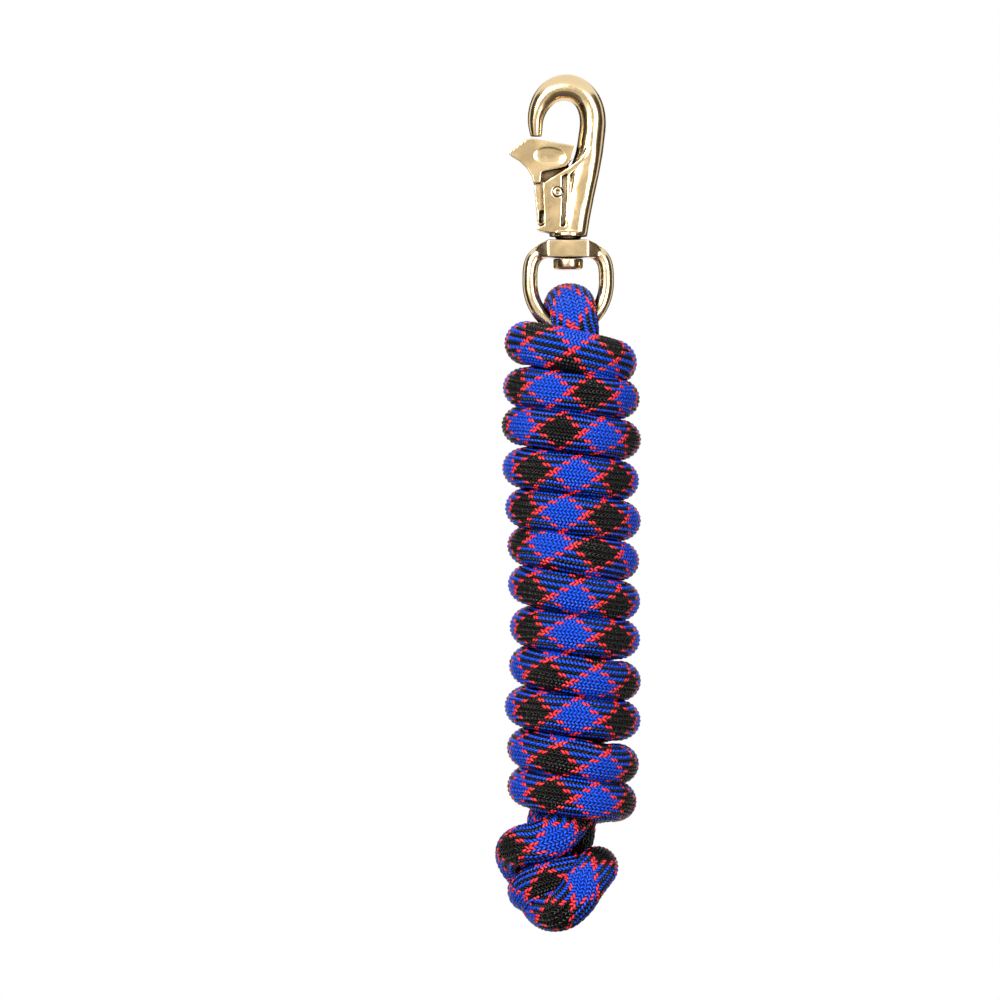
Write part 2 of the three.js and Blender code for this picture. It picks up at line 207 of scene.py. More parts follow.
# The wound turns, top to bottom: X and Z of the rope's middle at the left end and at the right end.
TURNS = (
    (-0.0194, -0.1104, 0.0217, -0.1192),
    (-0.0202, -0.1306, 0.0230, -0.1358),
    (-0.0208, -0.1478, 0.0236, -0.1544),
    (-0.0205, -0.1671, 0.0227, -0.1730),
    (-0.0192, -0.1853, 0.0235, -0.1912),
    (-0.0182, -0.2024, 0.0228, -0.2094),
    (-0.0179, -0.2200, 0.0232, -0.2276),
    (-0.0171, -0.2393, 0.0232, -0.2449),
    (-0.0174, -0.2569, 0.0235, -0.2640),
    (-0.0194, -0.2756, 0.0234, -0.2817),
    (-0.0183, -0.2943, 0.0226, -0.3017),
    (-0.0182, -0.3117, 0.0214, -0.3185),
)
TURN_DEPTH = 0.028  # from the hank's middle to the rope's middle, front and back
TURN_SQUARE = 2.3  # 2 is an ellipse, more is squarer
TURN_POINTS = 16

# ---------- rope: braid ----------

CARRIERS = 12  # yarn pairs laid each way
# Where the middle of a solid colour shows at the front: X, Z on the rope's face, the column's angle there
# in degrees, and the colour as a carrier number: 2 is the middle of the blues and 8 of the blacks.
COLOUR_MARKS = (
    (-0.0011, -0.0920, 17, 2),
    (0.0131, -0.3165, 0, 2),
    (0.0176, -0.3002, 35, 2),
    (0.0031, -0.2787, 0, 2),
    (0.0126, -0.2620, 35, 2),
    (-0.0001, -0.2422, 0, 2),
    (0.0035, -0.2239, 35, 2),
    (-0.0105, -0.2040, -35, 2),
    (-0.0028, -0.1878, 0, 2),
    (0.0035, -0.1702, 0, 2),
    (0.0158, -0.1533, 0, 2),
    (-0.0096, -0.1322, 0, 2),
    (0.0013, -0.1152, -90, 2),
    (-0.0054, -0.3328, 0, 2),
    (0.0062, -0.3525, -15, 2),
    (-0.0107, -0.3528, -20, 8),
)
DASH_SLANT = 0.35  # crossings that a dash gains over one column
SIDES_PER_CARRIER = 8
RINGS_PER_CROWN = 4
FRONT = -0.014  # a strand shows at the front where its middle is nearer than this
EYE_END = 0.085  # length of rope in the eye
EYE_LEVEL = -0.1  # a colour mark above this is on the eye
RING_SQUEEZE = 0.84  # share of the rope's thickness left where the ring presses it
RING_SPREAD = 1.12  # and how much wider it is there
WOUND_SQUEEZE = 0.96  # share of its thickness left between its neighbours in the hank
TOP_SWELL = 1.04  # the top turn has nothing on it
BEND_WINDOW = 13  # points that the rope's bend is averaged over
BEND_LIMIT = 0.5  # most that a bend crowds the carriers on its inside
LAY_ROUNDS = 14  # rounds that settle where crowded carriers lie
CROWN_MIDDLE = 0.75  # share of a crown's height that lies within the rope's radius
TEXTURE_STRIPS = 7

# ---------- seizing: round both legs of the eye ----------

SEIZING_TURNS = 8
SEIZING_X = 0.0006
SEIZING_HALF_X = 0.0129
SEIZING_HALF_Y = 0.0222
SEIZING_POWER = 0.7  # 1 is an ellipse, less is squarer
SEIZING_TOP = -0.1124
TWINE_R = 0.0005


def linear(code):
    """An sRGB hex colour as the linear RGBA that Blender works in."""
    channels = [int(code[i : i + 2], 16) / 255 for i in (1, 3, 5)]
    return (*(c / 12.92 if c <= 0.04045 else ((c + 0.055) / 1.055) ** 2.4 for c in channels), 1.0)


def add_node(tree, kind, links=None, **settings):
    """Adds a node, sets its properties, and fills its inputs with values or with other nodes' outputs."""
    made = tree.nodes.new(kind)
    for name, value in settings.items():
        setattr(made, name, value)
    for socket, value in (links or {}).items():
        if isinstance(value, bpy.types.NodeSocket):
            tree.links.new(value, made.inputs[socket])
        else:
            made.inputs[socket].default_value = value
    return made


def new_finish(name, roughness, metallic):
    """A material with one shader, its tree and that shader."""
    finish = bpy.data.materials.new(name)
    finish.use_nodes = True
    tree = finish.node_tree
    shader = tree.nodes["Principled BSDF"]
    shader.inputs["Metallic"].default_value = metallic
    shader.inputs["Roughness"].default_value = roughness
    return finish, tree, shader


# ---------- mesh work ----------


def unit(vectors):
    return vectors / np.maximum(np.linalg.norm(vectors, axis=-1, keepdims=True), 1e-12)


def smooth_line(points, step):
    """Evenly spaced points, about step apart, on the smooth line through given ones."""
    held = np.array(points, float)
    held = np.vstack([2 * held[0] - held[1], held, 2 * held[-1] - held[-2]])
    knots = np.concatenate([[0.0], np.cumsum(np.sqrt(np.linalg.norm(np.diff(held, axis=0), axis=1)))])
    dense = []
    for i in range(1, len(held) - 2):
        t = np.linspace(knots[i], knots[i + 1], 24, endpoint=False)[:, None]
        near = [
            ((knots[j + 1] - t) * held[j] + (t - knots[j]) * held[j + 1]) / (knots[j + 1] - knots[j])
            for j in (i - 1, i, i + 1)
        ]
        wide = [
            ((knots[j + 2] - t) * near[k] + (t - knots[j]) * near[k + 1]) / (knots[j + 2] - knots[j])
            for k, j in enumerate((i - 1, i))
        ]
        dense.append(((knots[i + 1] - t) * wide[0] + (t - knots[i]) * wide[1]) / (knots[i + 1] - knots[i]))
    dense = np.vstack([*dense, held[-2:-1]])
    walked = np.concatenate([[0.0], np.cumsum(np.linalg.norm(np.diff(dense, axis=0), axis=1))])
    along = np.linspace(0, walked[-1], max(2, round(walked[-1] / step)) + 1)
    return np.column_stack([np.interp(along, walked, dense[:, k]) for k in range(dense.shape[1])]), along


def carried_frames(line):
    """Tangents, and normals carried along the line without twisting about it."""
    tangents = unit(np.gradient(line, axis=0))
    normals = np.empty_like(line)
    start = np.cross(tangents[0], SIDEWAYS)
    normals[0] = start / np.linalg.norm(start)
    for i in range(1, len(line)):
        kept = normals[i - 1] - tangents[i] * (normals[i - 1] @ tangents[i])
        normals[i] = kept / np.linalg.norm(kept)
    return tangents, normals


def rings_along(line, tangents, normals, half_in, half_across, sides, square=2.0):
    """Sections counted from the normal towards tangent x normal: ellipses, or squarer above 2."""
    across = np.cross(tangents, normals)
    angle = 2 * np.pi * np.arange(sides) / sides
    sizes = (half_in, half_across, 2 / np.asarray(square))
    half_in, half_across, power = (np.broadcast_to(size, len(line))[:, None] for size in sizes)
    inward = half_in * np.sign(np.cos(angle)) * np.abs(np.cos(angle)) ** power
    sideways = half_across * np.sign(np.sin(angle)) * np.abs(np.sin(angle)) ** power
    return line[:, None] + inward[..., None] * normals[:, None] + sideways[..., None] * across[:, None]


def skin(name, rings, looped=False):
    """A closed mesh over rings of points: joined end to end when looped, otherwise capped."""
    count, sides = rings.shape[:2]
    ring = np.arange(count if looped else count - 1)[:, None]
    side = np.arange(sides)[None, :]
    beside = (side + 1) % sides
    after = (ring + 1) % count
    faces = np.stack(
        [ring * sides + side, ring * sides + beside, after * sides + beside, after * sides + side], -1
    ).reshape(-1, 4)
    points = rings.reshape(-1, 3)
    faces = faces.tolist()
    if not looped:
        ends = rings[[0, -1]].mean(axis=1)
        points = np.vstack([points, ends])
        first = count * sides
        last = (count - 1) * sides
        for k in range(sides):
            step = (k + 1) % sides
            faces.append((first, step, k))
            faces.append((first + 1, last + k, last + step))
    mesh = bpy.data.meshes.new(name)
    mesh.from_pydata(points.tolist(), [], faces)
    mesh.update()
    mesh.shade_smooth()
    piece = bpy.data.objects.new(name, mesh)
    bpy.context.scene.collection.objects.link(piece)
    return piece


def turned(name, profile, centre, axis, sides=72):
    """A turned piece from (radius, height) pairs up an axis through a centre."""
    axis = np.array(axis, float)
    side = SIDEWAYS if abs(axis[0]) < 0.5 else UP
    heights = np.array(profile, float)
    line = np.array(centre) + heights[:, 1:2] * axis
    tangents = np.broadcast_to(axis, line.shape)
    normals = np.broadcast_to(side, line.shape)
    radius = np.maximum(heights[:, 0], 1e-5)
    piece = skin(name, rings_along(line, tangents, normals, radius, radius, sides))
    piece.data.set_sharp_from_angle(angle=math.radians(50))
    return piece


def plate(name, outline, front, back):
    """A flat piece of an X, Z outline between two depths."""
    count = len(outline)
    points = [(x, y, z) for y in (front, back) for x, z in outline]
    faces = [[*range(count)], [*range(2 * count - 1, count - 1, -1)]]
    for i in range(count):
        j = (i + 1) % count
        faces.append([j, i, count + i, count + j])
    mesh = bpy.data.meshes.new(name)
    mesh.from_pydata(points, [], faces)
    area = sum(a[0] * b[1] - b[0] * a[1] for a, b in zip(outline, outline[1:] + outline[:1]))
    if area < 0:
        mesh.flip_normals()
    piece = bpy.data.objects.new(name, mesh)
    bpy.context.scene.collection.objects.link(piece)
    return piece


def settle(piece):
    """Turns a piece's modifiers into its mesh."""
    bpy.context.view_layer.update()
    shaped = piece.evaluated_get(bpy.context.evaluated_depsgraph_get())
    mesh = bpy.data.meshes.new_from_object(shaped)
    piece.modifiers.clear()
    piece.data = mesh
    mesh.name = piece.name
    mesh.shade_smooth()
    return piece


def cast_from(name, node, extra, cuts, voxel, passes):
    """A casting: the CAD piece joined with finer lofts of its round parts, cut, and softened at corners."""
    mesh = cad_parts[node].data.copy()
    mesh.materials.clear()
    piece = bpy.data.objects.new(name, mesh)
    bpy.context.scene.collection.objects.link(piece)
    if extra:
        with bpy.context.temp_override(
            active_object=piece, selected_objects=[piece, *extra], selected_editable_objects=[piece, *extra]
        ):
            bpy.ops.object.join()
    body = piece.modifiers.new("body", "REMESH")
    body.mode = "VOXEL"
    body.voxel_size = voxel
    settle(piece)
    for cutter in cuts:
        cut = piece.modifiers.new("cut", "BOOLEAN")
        cut.operation = "DIFFERENCE"
        cut.solver = "MANIFOLD"
        cut.object = cutter
        settle(piece)
        bpy.data.objects.remove(cutter)
    if cuts:
        body = piece.modifiers.new("body", "REMESH")
        body.mode = "VOXEL"
        body.voxel_size = voxel
    soften = piece.modifiers.new("soften", "SMOOTH")
    soften.factor = 0.5
    soften.iterations = passes
    return settle(piece)


def finish_piece(piece, material, body, slot, *nodes):
    """Gives a piece its material and its CAD body, and hides the CAD nodes it stands for. The slot is not
    used.
    """
    piece.data.materials.clear()
    piece.data.materials.append(material)
    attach(piece, body)
    if nodes:
        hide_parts(*nodes)
    return piece


# ---------- finishes ----------


def gilt_zinc(settings):
    """Zinc die casting, barrel polished and flashed with pale brass: a bright, slightly wavy mirror that
    goes brown where the dark of the room shows in it. The hollows that the polish missed are rougher, and
    painted shade darkens their colour."""
    finish = bpy.data.materials.get("gilt_plated_zinc")
    if finish:
        return finish
    finish, tree, shader = new_finish("gilt_plated_zinc", settings.roughness, 1.0)
    where = add_node(tree, "ShaderNodeTexCoord").outputs["Object"]
    # Casting waves about 12 mm across and tumbling marks about 0.5 mm across.
    waves = add_node(tree, "ShaderNodeTexNoise", {"Vector": where, "Scale": 80.0, "Detail": 1.0})
    marks = add_node(tree, "ShaderNodeTexNoise", {"Vector": where, "Scale": 2000.0, "Detail": 4.0})
    # Painted shade: an occlusion test finds hollows about 2 mm across, which the buffing mop doesn't reach;
    # they are painted dark and made rougher.
    reach = add_node(tree, "ShaderNodeAmbientOcclusion", {"Distance": 0.005}, samples=8)
    hollow = add_node(
        tree,
        "ShaderNodeMapRange",
        {"Value": reach.outputs["AO"], "From Min": 0.55, "From Max": 0.84, "To Min": 1.0, "To Max": 0.0},
    )
    tone = add_node(
        tree,
        "ShaderNodeMix",
        {0: waves.outputs["Fac"], 6: linear(settings.plate_dark), 7: linear(settings.plate_light)},
        data_type="RGBA",
    )
    # Painted shade: the plating's colour is mixed towards dark brown in the hollows.
    hollow_shaded = add_node(
        tree,
        "ShaderNodeMix",
        {0: hollow.outputs["Result"], 6: tone.outputs[2], 7: linear(settings.painted_hollow_shade)},
        data_type="RGBA",
    )
    tree.links.new(hollow_shaded.outputs[2], shader.inputs["Base Color"])
    rough = add_node(
        tree,
        "ShaderNodeMapRange",
        {
            "Value": marks.outputs["Fac"],
            "From Min": 0.3,
            "From Max": 0.7,
            "To Min": settings.roughness * 0.8,
            "To Max": settings.roughness * 1.5,
        },
    )
    cast = add_node(
        tree,
        "ShaderNodeMath",
        {0: hollow.outputs["Result"], 1: HOLLOW_ROUGHNESS, 2: rough.outputs["Result"]},
        operation="MULTIPLY_ADD",
    )
    tree.links.new(cast.outputs[0], shader.inputs["Roughness"])
    first = {"Height": waves.outputs["Fac"], "Strength": 0.5, "Distance": 0.0016}
    wavy = add_node(tree, "ShaderNodeBump", first).outputs["Normal"]
    second = add_node(
        tree,
        "ShaderNodeBump",
        {"Height": marks.outputs["Fac"], "Normal": wavy, "Strength": 0.1, "Distance": 0.00005},
    )
    tree.links.new(second.outputs["Normal"], shader.inputs["Normal"])
    return finish


def drawn_steel(settings):
    """Drawn spring wire: grey steel with fine lines along the draw."""
    finish = bpy.data.materials.get("drawn_spring_steel")
    if finish:
        return finish
    finish, tree, shader = new_finish("drawn_spring_steel", 0.3, 1.0)
    shader.inputs["Base Color"].default_value = linear(settings.steel)
    where = add_node(tree, "ShaderNodeTexCoord").outputs["Object"]
    # Draw lines about 0.05 mm apart, drawn at 0.2 mm so that they show.
    lines = add_node(tree, "ShaderNodeTexNoise", {"Vector": where, "Scale": 5000.0, "Detail": 2.0})
    relief = {"Height": lines.outputs["Fac"], "Strength": 0.3, "Distance": 0.00003}
    bump = add_node(tree, "ShaderNodeBump", relief)
    tree.links.new(bump.outputs["Normal"], shader.inputs["Normal"])
    return finish


def braided_polypropylene(settings):
    """Solid-coloured polypropylene multifilament, braided on carriers of blue, red and black: glossy
    slanting dashes of yarn, two side by side at every crossing, with shade painted into the hollows at their
    ends."""
    finish, tree, shader = new_finish("braided_polypropylene", 0.3, 0.0)
    shader.inputs["IOR"].default_value = 1.49
    shader.inputs["Specular IOR Level"].default_value = 0.24
    braid = add_node(tree, "ShaderNodeUVMap", uv_map="braid")
    place = add_node(tree, "ShaderNodeSeparateXYZ", {0: braid.outputs["UV"]})
    made = {"round": place.outputs["X"], "along": place.outputs["Y"]}
    # Columns of dashes alternate between yarns laid one way and the other, half a crossing apart.
    steps = (
        ("columns", "MULTIPLY", "round", 2.0),
        ("column", "ROUND", "columns"),
        ("lean", "SUBTRACT", "columns", "column"),
        ("other_way", "FLOORED_MODULO", "column", 2.0),
        ("way", "MULTIPLY_ADD", "other_way", -2.0, 1.0),
        ("slant", "MULTIPLY", "way", "lean"),
        ("staggered", "MULTIPLY_ADD", "other_way", -0.5, "along"),
        ("slanted", "MULTIPLY_ADD", "slant", DASH_SLANT, "staggered"),
        ("crossing", "ROUND", "slanted"),
        ("in_crossing", "SUBTRACT", "slanted", "crossing"),
        ("half_column", "MULTIPLY", "column", 0.5),
        ("carried", "MULTIPLY_ADD", "way", "half_column", "crossing"),
        ("carrier", "MULTIPLY_ADD", "other_way", 0.5, "carried"),
        ("lay", "FLOORED_MODULO", "carrier", float(CARRIERS)),
        ("shade", "MULTIPLY_ADD", "lay", 1 / CARRIERS, 0.5 / CARRIERS),
        ("lean_turn", "MULTIPLY", "lean", math.pi),
        ("across_dash", "COSINE", "lean_turn"),
        ("pair_turn", "MULTIPLY", "in_crossing", 2 * math.pi),
        ("pair_wave", "SINE", "pair_turn"),
        ("pair", "ABSOLUTE", "pair_wave"),
        ("pair_round", "POWER", "pair", 0.8),
        ("dash_width", "MULTIPLY_ADD", "across_dash", 0.55, 0.45),
        ("dash", "MULTIPLY", "pair_round", "dash_width"),
    )
    for name, operation, *values in steps:
        links = {i: made.get(value, value) for i, value in enumerate(values)}
        made[name] = add_node(tree, "ShaderNodeMath", links, operation=operation).outputs[0]
    lays = add_node(tree, "ShaderNodeValToRGB", {"Fac": made["shade"]})
    lays.color_ramp.interpolation = "CONSTANT"
    stops = (
        (0.0, settings.blue),
        (5 / CARRIERS, settings.red),
        (6 / CARRIERS, settings.black),
        (11 / CARRIERS, settings.red),
    )
    while len(lays.color_ramp.elements) < len(stops):
        lays.color_ramp.elements.new(0.99)
    for stop, (position, colour) in zip(lays.color_ramp.elements, stops):
        stop.position = position
        stop.color = linear(colour)
    # Painted shade: the yarn colour is multiplied towards near-black in the hollows between and at the ends
    # of the dashes.
    depth = add_node(
        tree,
        "ShaderNodeMapRange",
        {"Value": made["dash"], "From Min": 0.18, "From Max": 0.95, "To Min": 1.0, "To Max": 0.0},
    )
    crevice_shaded = add_node(
        tree,
        "ShaderNodeMix",
        {0: depth.outputs["Result"], 6: lays.outputs["Color"], 7: linear("#1c1c20")},
        data_type="RGBA",
        blend_type="MULTIPLY",
    )
    # Filaments 0.03 mm thick, drawn at about 0.15 mm so that they show.
    where = add_node(tree, "ShaderNodeTexCoord").outputs["Object"]
    fibres = add_node(tree, "ShaderNodeTexNoise", {"Vector": where, "Scale": 6500.0, "Detail": 2.0})
    fibre_tone = add_node(
        tree,
        "ShaderNodeMapRange",
        {"Value": fibres.outputs["Fac"], "From Min": 0.3, "From Max": 0.7, "To Min": 0.95, "To Max": 2.05},
    )
    coloured = add_node(
        tree,
        "ShaderNodeVectorMath",
        {0: crevice_shaded.outputs[2], "Scale": fibre_tone.outputs["Result"]},
        operation="SCALE",
    )
    tree.links.new(coloured.outputs["Vector"], shader.inputs["Base Color"])
    first = {"Height": made["dash"], "Strength": 1.0, "Distance": 0.0006}
    dashed = add_node(tree, "ShaderNodeBump", first).outputs["Normal"]
    second = add_node(
        tree,
        "ShaderNodeBump",
        {"Height": fibres.outputs["Fac"], "Normal": dashed, "Strength": 0.35, "Distance": 0.00008},
    )
    tree.links.new(second.outputs["Normal"], shader.inputs["Normal"])
    return finish


def waxed_twine(settings):
    """Waxed nylon whipping twine: near-black, slightly shiny, with its two plies showing as a slant."""
    finish, tree, shader = new_finish("waxed_nylon_twine", 0.45, 0.0)
    shader.inputs["IOR"].default_value = 1.53
    where = add_node(tree, "ShaderNodeTexCoord")
    # Plies slant across the twine about every 1 mm.
    plies = add_node(
        tree,
        "ShaderNodeTexWave",
        {"Vector": where.outputs["Object"], "Scale": 320.0, "Distortion": 1.0},
        bands_direction="DIAGONAL",
    )
    tone = add_node(
        tree,
        "ShaderNodeMix",
        {0: plies.outputs["Fac"], 6: linear("#0e0d0c"), 7: linear(settings.black)},
        data_type="RGBA",
    )
    tree.links.new(tone.outputs[2], shader.inputs["Base Color"])
    relief = {"Height": plies.outputs["Fac"], "Strength": 0.6, "Distance": 0.0002}
    bump = add_node(tree, "ShaderNodeBump", relief)
    tree.links.new(bump.outputs["Normal"], shader.inputs["Normal"])
    return finish


# ---------- snap pieces ----------


def flat_bar(name, stations, square, sides=64, looped=False):
    """A bar whose centre line lies in the XZ plane. Each station is x, z, half width, half depth."""
    line = np.column_stack([stations[:, 0], np.zeros(len(stations)), stations[:, 1]])
    if looped:
        tangents = unit(np.roll(line, -1, axis=0) - np.roll(line, 1, axis=0))
    else:
        tangents = unit(np.gradient(line, axis=0))
    normals = np.cross(tangents, np.array([0.0, 1.0, 0.0]))
    rings = rings_along(line, tangents, normals, stations[:, 2], stations[:, 3], sides, square)
    return skin(name, rings, looped)


def build_snap_body(settings):
    """Hook, shank and cheeks in one casting, with the trigger's slot and the long groove beside its pin."""
    stations, _ = smooth_line(BAR, 0.0006)
    half = stations[:, 2] / 2
    stations = np.column_stack([stations[:, 0], stations[:, 1], half, half * BAR_DEPTH_SHARE])
    down = np.clip((SHANK_FROM - stations[:, 1]) / (SHANK_FROM - SHANK_TO), 0, 1)
    square = 2 + (SHANK_SQUARE - 2) * down * down * (3 - 2 * down)
    bar = flat_bar("bar", stations, square)
    cuts = [
        plate("slot", SLOT, -SLOT_HALF, SLOT_HALF),
        plate("groove_front", GROOVE, -0.02, -GROOVE_FLOOR),
        plate("groove_back", GROOVE, GROOVE_FLOOR, 0.02),
    ]
    piece = cast_from("snap_casting", "snap_body", [bar], cuts, settings.voxel, settings.softening)
    finish_piece(piece, gilt_zinc(settings), "snap", "gold_plate", "snap_body")


def build_trigger(settings):
    """The lever with its thumb dishes, toothed spur and hollow leg."""
    piece = cast_from("trigger_casting", "trigger", [], [], settings.voxel, settings.softening)
    finish_piece(piece, gilt_zinc(settings), "trigger", "gold_plate", "trigger")


def build_pin(settings):
    """The rivet that the trigger turns on, with a punched dimple in each end."""
    half = PIN_HALF
    profile = (
        (0.0, -half + 0.0009),
        (0.0006, -half + 0.0008),
        (0.0009, -half + 0.0002),
        (0.0012, -half),
        (0.0018, -half + 0.00005),
        (PIN_R, -half + 0.0003),
        (PIN_R, half - 0.0003),
        (0.0018, half - 0.00005),
        (0.0012, half),
        (0.0009, half - 0.0002),
        (0.0006, half - 0.0008),
        (0.0, half - 0.0009),
    )
    piece = turned("trigger_rivet", profile, PIN, (0.0, 1.0, 0.0))
    finish_piece(piece, gilt_zinc(settings), "snap", "gold_plate", "trigger_pin")


def build_spring(settings):
    """A torsion spring: its coil and lower arm move with the trigger, its upper arm stays in the body."""
    half = SPRING_TURNS * SPRING_PITCH / 2
    points = [(-0.0110, -half, -0.0562), (-0.0109, -half, -0.0520), (-0.0096, -half, -0.0470)]
    per_turn = 16
    steps = round(SPRING_TURNS * per_turn)
    for i in range(steps + 1):
        turn = math.pi - 2 * math.pi * i / per_turn
        points.append(
            (
                PIN[0] + SPRING_MEAN * math.cos(turn),
                -half + SPRING_PITCH * i / per_turn,
                PIN[2] + SPRING_MEAN * math.sin(turn),
            )
        )
    steel = drawn_steel(settings)
    line, _ = smooth_line(points, 0.0003)
    coil = skin("spring_coil", rings_along(line, *carried_frames(line), SPRING_WIRE, SPRING_WIRE, 14))
    finish_piece(coil, steel, "trigger", "spring_steel", "trigger_spring")
    arm, _ = smooth_line((points[-1], (-0.0036, half, -0.0390), (-0.0004, half, -0.0389)), 0.0003)
    upper = skin("spring_upper_arm", rings_along(arm, *carried_frames(arm), SPRING_WIRE, SPRING_WIRE, 14))
    finish_piece(upper, steel, "snap", "spring_steel")


def build_stud(settings):
    """The swivel's stud with its round head inside the ring."""
    profile = (
        (0.0, -0.0771),
        (0.0050, -0.0771),
        (0.0058, -0.0769),
        (0.0064, -0.0765),
        (0.00675, -0.0758),
        (0.00675, -0.0727),
        (0.0066, -0.0723),
        (0.0062, -0.0721),
        (STUD_R, -0.0721),
        (STUD_R, -0.0602),
        (0.0, -0.0602),
    )
    piece = turned("swivel_stud_turned", profile, (0.0, 0.0, 0.0), (0.0, 0.0, 1.0))
    finish_piece(piece, gilt_zinc(settings), "snap", "gold_plate", "swivel_stud")


def build_ring(settings):
    """The ring: an ellipse below its widest place, a squarer arch above it, and a flat bar on top."""
    turn = 2 * np.pi * np.arange(EYE_STATIONS) / EYE_STATIONS
    c = np.cos(turn)
    s = np.sin(turn)
    power = np.where(s > 0, 2 / EYE_SQUARE, 1.0)
    x = EYE_X * np.sign(c) * np.abs(c) ** power
    z = EYE_Z + np.where(s > 0, EYE_RISE * np.abs(s) ** power, EYE_DOWN * s)
    wire = np.full(EYE_STATIONS, EYE_WIRE)
    loop = flat_bar("loop", np.column_stack([x, z, wire, wire]), 2.0, 48, looped=True)
    bore_r = STUD_R + STUD_GAP
    bore = turned("bore", ((bore_r, -0.080), (bore_r, -0.060)), (0, 0, 0), (0, 0, 1))
    passes = settings.softening * EYE_SOFTER
    piece = cast_from("swivel_ring_casting", "swivel_eye", [loop], [bore], settings.voxel, passes)
    finish_piece(piece, gilt_zinc(settings), "swivel_eye", "gold_plate", "swivel_eye")


# ---------- rope pieces ----------


def turn_line():
    """The rope's middle through the wound turns, from the lowest one's right end to the top one's left."""
    points = []

    def strand(start, end, depth):
        (x0, z0), (x1, z1) = start, end
        for i in range(TURN_POINTS // 2):
            angle = 2 * math.pi * i / TURN_POINTS
            swing = math.copysign(abs(math.cos(angle)) ** (2 / TURN_SQUARE), math.cos(angle))
            share = (1 - swing) / 2
            y = depth * math.sin(angle) ** (2 / TURN_SQUARE)
            points.append((x0 + (x1 - x0) * share, y, z0 + (z1 - z0) * share))

    for n in range(len(TURNS) - 1, -1, -1):
        left_x, left_z, right_x, right_z = TURNS[n]
        strand((right_x, right_z), (left_x, left_z), -TURN_DEPTH)
        if n:
            strand((left_x, left_z), TURNS[n - 1][2:], TURN_DEPTH)
    points.append((TURNS[0][0], 0.0, TURNS[0][1]))
    return points


